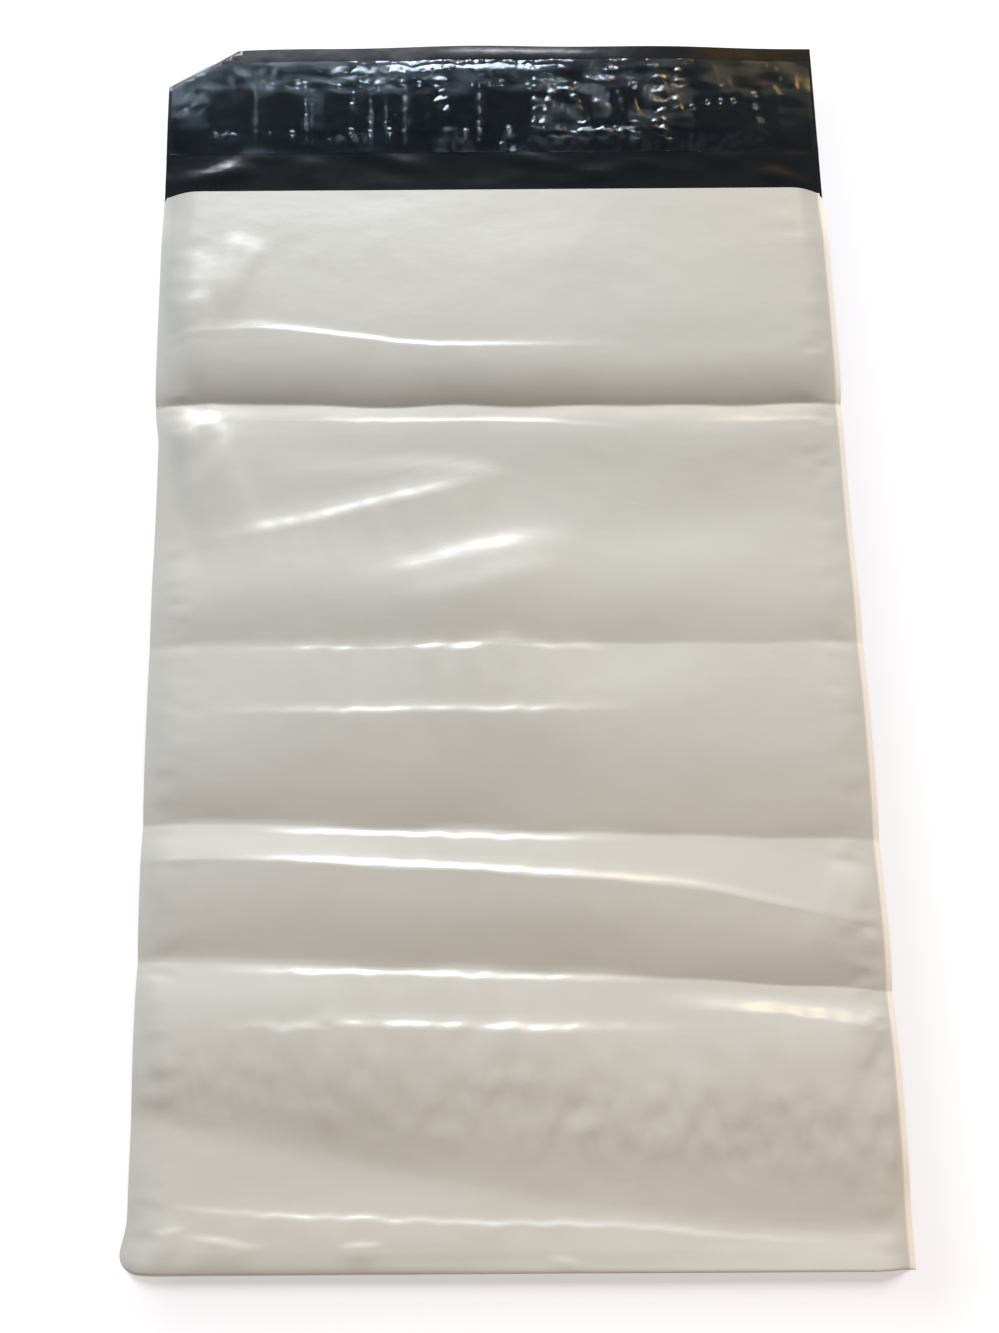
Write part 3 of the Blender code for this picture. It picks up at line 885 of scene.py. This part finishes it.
def hot_melt():
    material, tree = new_material("hot_melt_adhesive_skin")
    place = add(tree, "ShaderNodeTexCoord").outputs["Object"]
    skin = bumped(tree, noise(tree, place, 350.0), bump_height / 2)
    finish_plastic(tree, {"Base Color": linear("#0A0908"), "Roughness": 0.18, "IOR": 1.48}, Normal=skin)
    return material


adhesive = sheet_object(
    "adhesive_band",
    np.linspace(adhesive_left, adhesive_right, 260),
    np.linspace(-0.5, 0.5, 25),
    lay_adhesive,
    adhesive_thickness,
    hot_melt(),
)
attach(adhesive, "root")
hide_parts("adhesive_strip")

# %% [markdown]
# The liner is a clear film, siliconed so that it peels off. Some blocks of it are wetted by the
# adhesive and look black. Between and beside them there is air under it, and folding the bag has
# puckered it there and left milky marks. Their lines were measured on the photograph, across the
# bag and from the mouth; how wide, milky and rippled each is was set one by one. The finest crinkles
# are random. A cloth simulation would pucker it too, but in other places.

# %% Release liner
liner_width = 30 * MM
liner_thickness = 0.05 * MM
liner_margin = 1.2 * MM
liner_profile = (
    # from the middle of the adhesive, height over the flap, slope below, slope above
    (-15, 0.1, 0.1, 0.1),
    (-8.5, 0.8, 0, 0),
    (7.5, 0.8, 0, 0),
    (15, 1.15, 0.05, 0.05),
)
stuck_blocks = (
    # across from and to, where the liner is wetted by the adhesive, in millimetres
    (-86.9, -73.4), (-72.4, -58.9), (-51.9, -37.9), (-36.6, -27.5), (-24.9, -4.9), (-3.1, 12),
    (28, 31), (36, 42), (62, 88),
)
stuck_along = (-9.0 * MM, 3.6 * MM)
liner_marks = (
    # points (across, from the mouth), width, milkiness, how rippled it is
    (((-47.9, 40), (-36.9, 41.2), (-26, 42.7), (-18.3, 44.4)), 3.2, 0.6, 0.6),
    (((-21.6, 44.4), (-15, 46.6), (-4, 48.8), (7, 49.9), (18, 50.3), (27.4, 50.6)), 1, 0.45, 1),
    (((-21.6, 42.6), (-9.5, 44), (1.4, 45), (12.4, 44.9), (19, 44.4), (23.3, 42.3)), 1.3, 0.45, 1),
    (((12.4, 43.9), (13.5, 37.6), (13, 29), (12.6, 19.3)), 0.5, 0.45, 0.8),
    (((-4.1, 40.3), (2.5, 42.1), (9.5, 40.8)), 2.3, 0.55, 0),
    (((35.3, 37.7), (38.6, 42.2), (42.9, 45.4)), 1.3, 0.45, 0.9),
    (((49, 42.1), (51.6, 39.2), (51.7, 31.2), (51.8, 22.6), (54.3, 18.3)), 1.4, 0.45, 1),
    (((59.3, 43.7), (57, 38.5), (57.3, 33.6), (55.2, 29.4)), 1, 0.45, 0.8),
    (
        ((16.1, 22.3), (16.3, 29), (19.7, 33.9), (23, 34.5),
         (26.1, 30.1), (27.6, 25.2), (26.9, 20.4)),
        0.7, 0.45, 0.9,
    ),
    (((28.6, 37.8), (32.1, 37.5), (33.9, 33.8), (31.7, 28.6)), 0.6, 0.45, 0.6),
    (((12.7, 17.3), (21.4, 17.8), (33.3, 20.1), (43.3, 20.2)), 1.8, 0.6, 0.8),
    (((43.4, 27.8), (43.6, 17.6)), 1, 0.45, 0.6),
    (((-15.6, 16.8), (-12.1, 18.5), (-8.2, 15.3)), 2.1, 0.45, 0.7),
    (((1.8, 12.6), (4.7, 19.3), (6.5, 11.4)), 1.4, 0.45, 0.8),
    (((16.9, 14.2), (49.3, 14.8), (81.9, 18.7)), 2.8, 0.3, 0),
    (((89.8, 44.7), (94.8, 47.6), (98.4, 48.4)), 2.3, 0.5, 0),
    (((-81.8, 39.4), (-74.1, 41.5), (-66.5, 40.1), (-58.8, 38)), 1.7, 0.5, 0),
    (((-96.6, 31.7), (-91.3, 37.2)), 0.6, 0.6, 0.15),
    (((-94.7, 28), (-89, 34.1)), 0.6, 0.6, 0.15),
    (((-92.2, 25.2), (-87.8, 30.4)), 0.5, 0.5, 0.1),
    (((-86.6, 20.2), (-77.8, 20.1)), 0.8, 0.7, 0.3),
    (((-49.9, 19.2), (-39.1, 19)), 0.8, 0.75, 0.3),
    (((-16, 38.4), (-15.6, 31.7), (-15, 28)), 1, 0.45, 0.9),
    (((-72.8, 35.9), (-72.6, 18.7)), 0.4, 0.6, 0.3),
    (((-57.5, 37), (-57, 18.6)), 0.5, 0.6, 0.4),
    (((-55.3, 35.1), (-55.3, 17.6)), 0.4, 0.5, 0.3),
    (((-37.4, 36.2), (-37.1, 17.5)), 0.4, 0.6, 0.4),
    (((-32.6, 31.8), (-32.4, 17.4)), 0.4, 0.5, 0.3),
    (((-26.6, 36.7), (-26.8, 17.4)), 0.5, 0.6, 0.4),
    (((-3.7, 35.9), (-4.2, 18)), 0.5, 0.7, 0.4),
    (((-42.9, 33.2), (-42.6, 29.2)), 0.7, 0.45, 0.5),
    (((0.1, 35.3), (2.1, 35.9)), 0.8, 0.45, 0.5),
    (((29.7, 25.2), (30.6, 19.1)), 0.5, 0.6, 0.4),
    (((36.2, 37.5), (39.3, 32.5), (40.1, 26.4)), 0.5, 0.6, 0.3),
    (((87.4, 35.8), (88.5, 32.6)), 0.8, 0.45, 0.5),
)
ripple_length = 3.4 * MM
ripple_slope = 0.17
ripple_rise = 0.2
crinkle_height = 0.11 * MM
sag_from, sag_to, sag_depth = -46 * MM, 26 * MM, 0.8 * MM
edge_height = 0.1 * MM
print("marks on the liner:", len(liner_marks), "blocks that stick:", len(stuck_blocks))


def marks_at(x, beyond):
    """How milky the marks make each point of the liner, and how much they ripple it."""
    milky = np.zeros_like(x)
    rippled = np.zeros_like(x)
    for number, (points, width, milkiness, rippling) in enumerate(liner_marks):
        away, along, _ = beside_line(x, beyond, drawn_line(points))
        shift = 0.25 * width * MM * ripples(along, away, 61 + number, 4 * MM, 9 * MM)
        reach = width * MM * (1.0 + 0.5 * rippling)
        reach = reach * (0.95 + 0.25 * ripples(along, away, 161 + number, 5 * MM, 5 * MM))
        broken = 0.62 + 0.38 * np.tanh(1.5 * ripples(along, away, 261 + number, 3 * MM, 4 * MM))
        share = clamp(1.35 * bell((away + shift) / reach) * broken)
        milky = np.maximum(milky, milkiness * share)
        rippled = np.maximum(rippled, rippling * share)
    return milky, rippled


def stuck_share(x, beyond):
    """1 where the liner is wetted by the adhesive and 0 where there is air under it."""
    y = beyond - adhesive_from_mouth + 0.5 * MM * ripples(x, beyond, 35, 7 * MM, 7 * MM)
    across = x + 0.35 * MM * ripples(x, beyond, 36, 5 * MM, 5 * MM)
    share = np.zeros_like(x)
    for start, end in stuck_blocks:
        inside = np.minimum(across - start * MM, end * MM - across)
        share = np.maximum(share, smooth(0.5 + inside / (1.2 * MM)))
    inside = np.minimum(y - stuck_along[0], stuck_along[1] - y)
    return share * smooth(0.5 + inside / (1.6 * MM))


def wild_share(x, beyond):
    """Where the liner is crumpled at random: between the blocks of glue and over its far edge."""
    y = beyond - adhesive_from_mouth
    right = smooth((x - 10 * MM) / (8 * MM)) * smooth((66 * MM - x) / (10 * MM))
    right = right * smooth((13 * MM - np.abs(y)) / (6 * MM))
    far = 0.5 * smooth((y - 3 * MM) / (3 * MM)) * smooth((x + 96 * MM) / (20 * MM))
    near = 0.3 * smooth((-y - 7 * MM) / (2 * MM))
    return np.maximum(np.maximum(right, far), near) * (1.0 - 0.8 * stuck_share(x, beyond))


def liner_look(x, beyond):
    """How milky the liner is, and how far it stands off the adhesive, both from 0 to 1."""
    loose = 1.0 - stuck_share(x, beyond)
    y = beyond - adhesive_from_mouth
    rubbed = 0.3 * wild_share(x, beyond) + 0.28 * loose * smooth((y + 9 * MM) / (4 * MM))
    patchy = clamp(0.6 + 0.45 * ripples(x, y, 37, 16 * MM, 6 * MM))
    return np.maximum(marks_at(x, beyond)[0], rubbed * patchy), loose


def liner_height(x, beyond):
    y = beyond - adhesive_from_mouth
    places, heights, below, above = (np.array(column) for column in zip(*liner_profile))
    base = sloped_curve(y, places * MM, heights * MM, below, above)
    hang = smooth((x - sag_from) / (24 * MM)) * smooth((sag_to - x) / (14 * MM))
    turn = smooth((x - sag_from) / (30 * MM))
    sag = sag_depth * hang * smooth((y - (7.5 + 3.5 * turn) * MM) / ((9.0 - 4.0 * turn) * MM))
    rippled = marks_at(x, beyond)[1]
    bend = 0.35 * ripples(x, y, 34, 8 * MM, 20 * MM)
    step = np.mod((y + bend * MM) / ripple_length, 1.0)
    fall = 1.0 - ripple_rise
    saw = np.where(step < ripple_rise, smooth(step / ripple_rise), (1.0 - step) / fall)
    saw = saw * ripple_slope * fall * ripple_length
    crinkle = crinkle_height * wild_share(x, beyond) * ripples(x, y, 31, 3.6 * MM, 10 * MM)
    slow = 0.03 * MM * ripples(x, y, 33, 22 * MM, 14 * MM)
    over_adhesive = 2 * seat_gap + adhesive_thickness
    lowest = over_adhesive + (edge_height - over_adhesive) * smooth((np.abs(y) - 8.4 * MM) / (6 * MM))
    return flap_top(x, beyond) + np.maximum(base - sag + rippled * saw + crinkle + slow, lowest)


def lay_liner(x, share):
    beyond = adhesive_from_mouth + liner_width * share
    along = corner_width * (1.0 + (beyond - flap_length) / corner_length)
    start = -half_width + along + turn_radius + liner_margin
    end = corner_width - half_width
    left = liner_margin - half_width
    drawn = start + (end - start) * (x - left) / (end - left)
    x = np.where((x < end) & (start > left), drawn, x)
    return np.stack((x, bottom_y + bag_length + beyond, liner_height(x, beyond)), axis=-1)


def clear_film():
    """Clear where it is stuck, hazy where it is milky. Its reflections are painted blue, a painted
    reflection tint that stands in for the cool light they mirror; the tint was matched to the photograph.
    """
    material, tree = new_material("siliconed_clear_film")
    milky = add(tree, "ShaderNodeAttribute", {"attribute_name": "milky"}).outputs["Fac"]
    loose = add(tree, "ShaderNodeAttribute", {"attribute_name": "loose"}).outputs["Fac"]
    rough = ranged(tree, milky, low=0.08, high=0.4)
    reflects = ranged(tree, loose, low=0.15, high=0.5)
    # Specular Tint paints the liner's reflections blue: a painted reflection colour in place of cool
    # light.
    finish = {"Base Color": linear("#DCE6EE"), "Specular Tint": linear("#C4DCEE")}
    finish.update({"IOR": 1.47, "Transmission Weight": 1.0})
    finish_plastic(tree, finish, Roughness=rough, Specular_IOR_Level=reflects)
    return material


liner_film = clear_film()
liner = sheet_object(
    "clear_liner",
    np.linspace(liner_margin - half_width, half_width - liner_margin, 540),
    np.linspace(-0.5, 0.5, 80),
    lay_liner,
    liner_thickness,
    liner_film,
)
places = np.array([vert.co[:] for vert in liner.data.vertices])
liner_x, liner_beyond = places[:, 0] - centring, places[:, 1] - bottom_y - bag_length
for name, numbers in zip(("milky", "loose"), liner_look(liner_x, liner_beyond)):
    layer = liner.data.attributes.new(name, "FLOAT", "POINT")
    layer.data.foreach_set("value", numbers.astype(np.float32))
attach(liner, "root")
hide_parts("release_liner")

# %% [markdown]
# Air is trapped between the liner and the adhesive as small domes, and each mirrors the window as
# a white dot. They could be set one by one, but they repeat, so a Geometry Nodes tree scatters them
# over a patch that follows the liner: points on its faces, a flattened sphere on each, turned to
# the surface and sized at random with a fixed seed.

# %% Air bubbles under the liner
bubble_radius = 1.2 * MM
bubble_density = 60000.0
bubble_spacing = 3.6 * MM
bubble_sizes = (0.5, 1.2)
bubble_flatness = 0.36
dome_segments, dome_rings = 12, 8
bubble_patches = (
    # across from and to, then from and to as shares of the adhesive's width from its middle
    (-80 * MM, 50 * MM, 0.36, 0.50),
    (-84 * MM, 80 * MM, -0.56, -0.48),
    (60 * MM, 84 * MM, -0.34, 0.44),
)


def bubble_tree(material):
    tree = bpy.data.node_groups.new("trapped_air", "GeometryNodeTree")
    sockets = {"Patch": "NodeSocketGeometry", "Density": "NodeSocketFloat", "Radius": "NodeSocketFloat"}
    for name, kind in sockets.items():
        tree.interface.new_socket(name, in_out="INPUT", socket_type=kind)
    tree.interface.new_socket("Bubbles", in_out="OUTPUT", socket_type="NodeSocketGeometry")
    inputs = tree.nodes.new("NodeGroupInput").outputs
    points = add(
        tree,
        "GeometryNodeDistributePointsOnFaces",
        {"distribute_method": "POISSON", "Distance Min": bubble_spacing, "Seed": 4},
        Mesh=inputs["Patch"],
        Density_Max=inputs["Density"],
    )
    ball = {"Segments": dome_segments, "Rings": dome_rings}
    dome = add(tree, "GeometryNodeMeshUVSphere", ball, Radius=inputs["Radius"])
    spread = {"data_type": "FLOAT", 2: bubble_sizes[0], 3: bubble_sizes[1], "Seed": 9}
    size = add(tree, "FunctionNodeRandomValue", spread)
    flat = add(tree, "ShaderNodeCombineXYZ", X=size.outputs[1], Y=size.outputs[1])
    tree.links.new(maths(tree, "MULTIPLY", size.outputs[1], bubble_flatness), flat.inputs["Z"])
    placed = add(
        tree,
        "GeometryNodeInstanceOnPoints",
        Points=points.outputs["Points"],
        Instance=dome.outputs["Mesh"],
        Rotation=points.outputs["Rotation"],
        Scale=flat.outputs["Vector"],
    )
    real = add(tree, "GeometryNodeRealizeInstances", Geometry=placed.outputs["Instances"])
    smooth_shaded = add(tree, "GeometryNodeSetShadeSmooth", Geometry=real.outputs["Geometry"])
    finish = {"Material": material}
    dressed = add(tree, "GeometryNodeSetMaterial", finish, Geometry=smooth_shaded.outputs["Geometry"])
    output = tree.nodes.new("NodeGroupOutput")
    tree.links.new(dressed.outputs["Geometry"], output.inputs["Bubbles"])
    return tree


def lay_bubble_patch(x, share):
    beyond = adhesive_from_mouth + adhesive_width * share
    height = liner_height(x, beyond) + liner_thickness
    return np.stack((x, bottom_y + bag_length + beyond, height), axis=-1)


patches = []
for x0, x1, share0, share1 in bubble_patches:
    across, along = np.linspace(x0, x1, 120), np.linspace(share0, share1, 8)
    patches.append(sheet_object("patch", across, along, lay_bubble_patch, 0.0, liner_film))
bubbles = patches[0]
bubbles.name = "air_bubbles"
with bpy.context.temp_override(active_object=bubbles, selected_editable_objects=patches):
    bpy.ops.object.join()
scatter = bubbles.modifiers.new("scatter", "NODES")
scatter.node_group = bubble_tree(liner_film)
settings = {"Density": bubble_density, "Radius": bubble_radius}
for item in scatter.node_group.interface.items_tree:
    if item.in_out == "INPUT" and item.name in settings:
        scatter[item.identifier] = settings[item.name]
bubbles.update_tag()
applied(bubbles)
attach(bubbles, "root")
print("bubbles:", len(bubbles.data.polygons) // (dome_segments * dome_rings))

# %% [markdown]
# The floor is a white table. It isn't part of the object. To the camera
# it also glows a little, so that it looks nearly white while the light that falls on the bag stays
# at a plain level. It keeps the shadow that the lamps cast, but a bag a few millimetres high casts
# a narrow one. The broad, pale shadow that the photograph has on the right and below is therefore
# drawn: the glow is weaker close to the bag's outline.

# %% Floor
floor_size = 4.0
floor_glow = 0.6
shadow_reach = 31 * MM
shadow_depth = 0.22
shadow_centre = (9 * MM, -11 * MM)
shadow_half_x = half_width - 9 * MM
shadow_half_y = cad_high[1] - 12 * MM


def table_white():
    material, tree = new_material("matt_white_table")
    place = add(tree, "ShaderNodeTexCoord").outputs["Object"]
    split = add(tree, "ShaderNodeSeparateXYZ", Vector=place)
    squares = []
    for axis, centre, half in zip("XY", shadow_centre, (shadow_half_x, shadow_half_y)):
        out = maths(tree, "ABSOLUTE", maths(tree, "SUBTRACT", split.outputs[axis], centre))
        past = maths(tree, "MAXIMUM", maths(tree, "SUBTRACT", out, half), 0.0)
        squares.append(maths(tree, "POWER", past, 2.0))
    away = maths(tree, "SQRT", maths(tree, "ADD", *squares))
    shade = ranged(tree, away, end=shadow_reach, low=shadow_depth, high=0.0, kind="SMOOTHSTEP")
    path = add(tree, "ShaderNodeLightPath")
    seen = maths(tree, "MAXIMUM", path.outputs["Is Camera Ray"], path.outputs["Is Glossy Ray"])
    seen = maths(tree, "MAXIMUM", seen, path.outputs["Is Transmission Ray"])
    diffuse = add(tree, "ShaderNodeBsdfDiffuse", {"Color": linear("#C8CCD0")})
    level = maths(tree, "SUBTRACT", floor_glow, shade)
    glow = add(tree, "ShaderNodeEmission", {"Color": linear("#FAFCFF")}, Strength=level)
    both = add(tree, "ShaderNodeAddShader", _0=diffuse.outputs[0], _1=glow.outputs[0])
    mixed = add(tree, "ShaderNodeMixShader", _0=seen, _1=diffuse.outputs[0], _2=both.outputs[0])
    finish_material(tree, mixed)
    return material


bpy.ops.mesh.primitive_plane_add(size=floor_size, location=(0.0, 0.0, 0.0))
floor = bpy.context.object
floor.name = "table"
floor.data.materials.append(table_white())

# %% [markdown]
# The photograph doesn't show its lights, so these are a guess that fits it. A cool window straight
# beyond the flap and rather low draws the bright lines and the light and dark slopes. Warmer light
# comes from the bottom end and the right, cooler light from the left, and small yellow and amber
# lamps beyond the flap give the glints. Their places, levels and colours were matched by comparing
# renders with the photograph. One even light would be simpler, but would hide the creases.

# %% Lights
lit_point = Vector((0.0, 0.05, 0.0))
lamps = (
    # name, bearing and elevation in degrees, distance, size, light level, colour
    ("window", -4, 31, 2.0, (0.94, 0.72), 0.70, "#F1F7FF"),
    ("warm_room", 172, 38, 0.38, (0.5, 0.4), 0.14, "#FFD2A4"),
    ("warm_side", 110, 45, 0.5, (0.4, 0.4), 0.05, "#FFC48C"),
    ("cool_side", -115, 42, 0.45, (0.4, 0.4), 0.06, "#CFE2FF"),
    ("warm_lamp", 28, 29, 2.0, (0.16, 0.30), 0.09, "#FFC030"),
    ("right_lamp", 39, 33, 2.0, (0.12, 0.34), 0.016, "#FFB46A"),
    ("left_lamp", -25, 24, 2.0, (0.12, 0.30), 0.02, "#FFA860"),
)


def area_lamp(name, bearing, elevation, distance, size, level, colour):
    """A lamp that gives the middle of the bag the light level asked for. 1 shows colours as they are."""
    turn, rise = math.radians(bearing), math.radians(elevation)
    aim = Vector((math.sin(turn) * math.cos(rise), math.cos(turn) * math.cos(rise), math.sin(rise)))
    data = bpy.data.lights.new(name, "AREA")
    data.shape = "RECTANGLE"
    data.size, data.size_y = size
    data.energy = level * math.pi**2 * distance**2 / math.sin(rise)
    data.color = linear(colour)[:3]
    lamp = add_object(name, data)
    lamp.location = lit_point + aim * distance
    lamp.rotation_euler = (-aim).to_track_quat("-Z", "Y").to_euler()


for row in lamps:
    area_lamp(*row)
print("lamps:", len(lamps), "total level:", round(sum(row[5] for row in lamps), 3))

world = bpy.data.worlds.new("room")
world.use_nodes = True
background = world.node_tree.nodes["Background"]
background.inputs["Color"].default_value = linear("#EEF3FA")
background.inputs["Strength"].default_value = 0.14
bpy.context.scene.world = world
bpy.context.scene.view_settings.view_transform = "Standard"

# %% [markdown]
# The camera looks down on the bag from just below its middle, tipped a little towards the flap,
# which makes the near end look wider. It could be set by eye, but its lens and place were fitted to
# points of the bag in the photograph.

# %% Camera
image_width, image_height = 999, 1333
focal_length_px = 972
camera_place = (-24.4 * MM, -67.0 * MM, 266.9 * MM)
camera_tilt = math.radians(9.92)
camera_roll = math.radians(-0.40)
axis_from_left_px = 416

camera_data = bpy.data.cameras.new("camera")
camera_data.sensor_width = 36.0
camera_data.lens = camera_data.sensor_width * focal_length_px / image_height
camera_data.shift_x = (image_width / 2 - axis_from_left_px) / image_height
camera_data.clip_start = 0.01
camera = add_object("camera", camera_data)
turn = Matrix.Rotation(camera_tilt, 4, "X") @ Matrix.Rotation(camera_roll, 4, "Z")
camera.matrix_world = Matrix.Translation(camera_place) @ turn
bpy.context.scene.camera = camera
print("lens in mm:", round(camera_data.lens, 2))
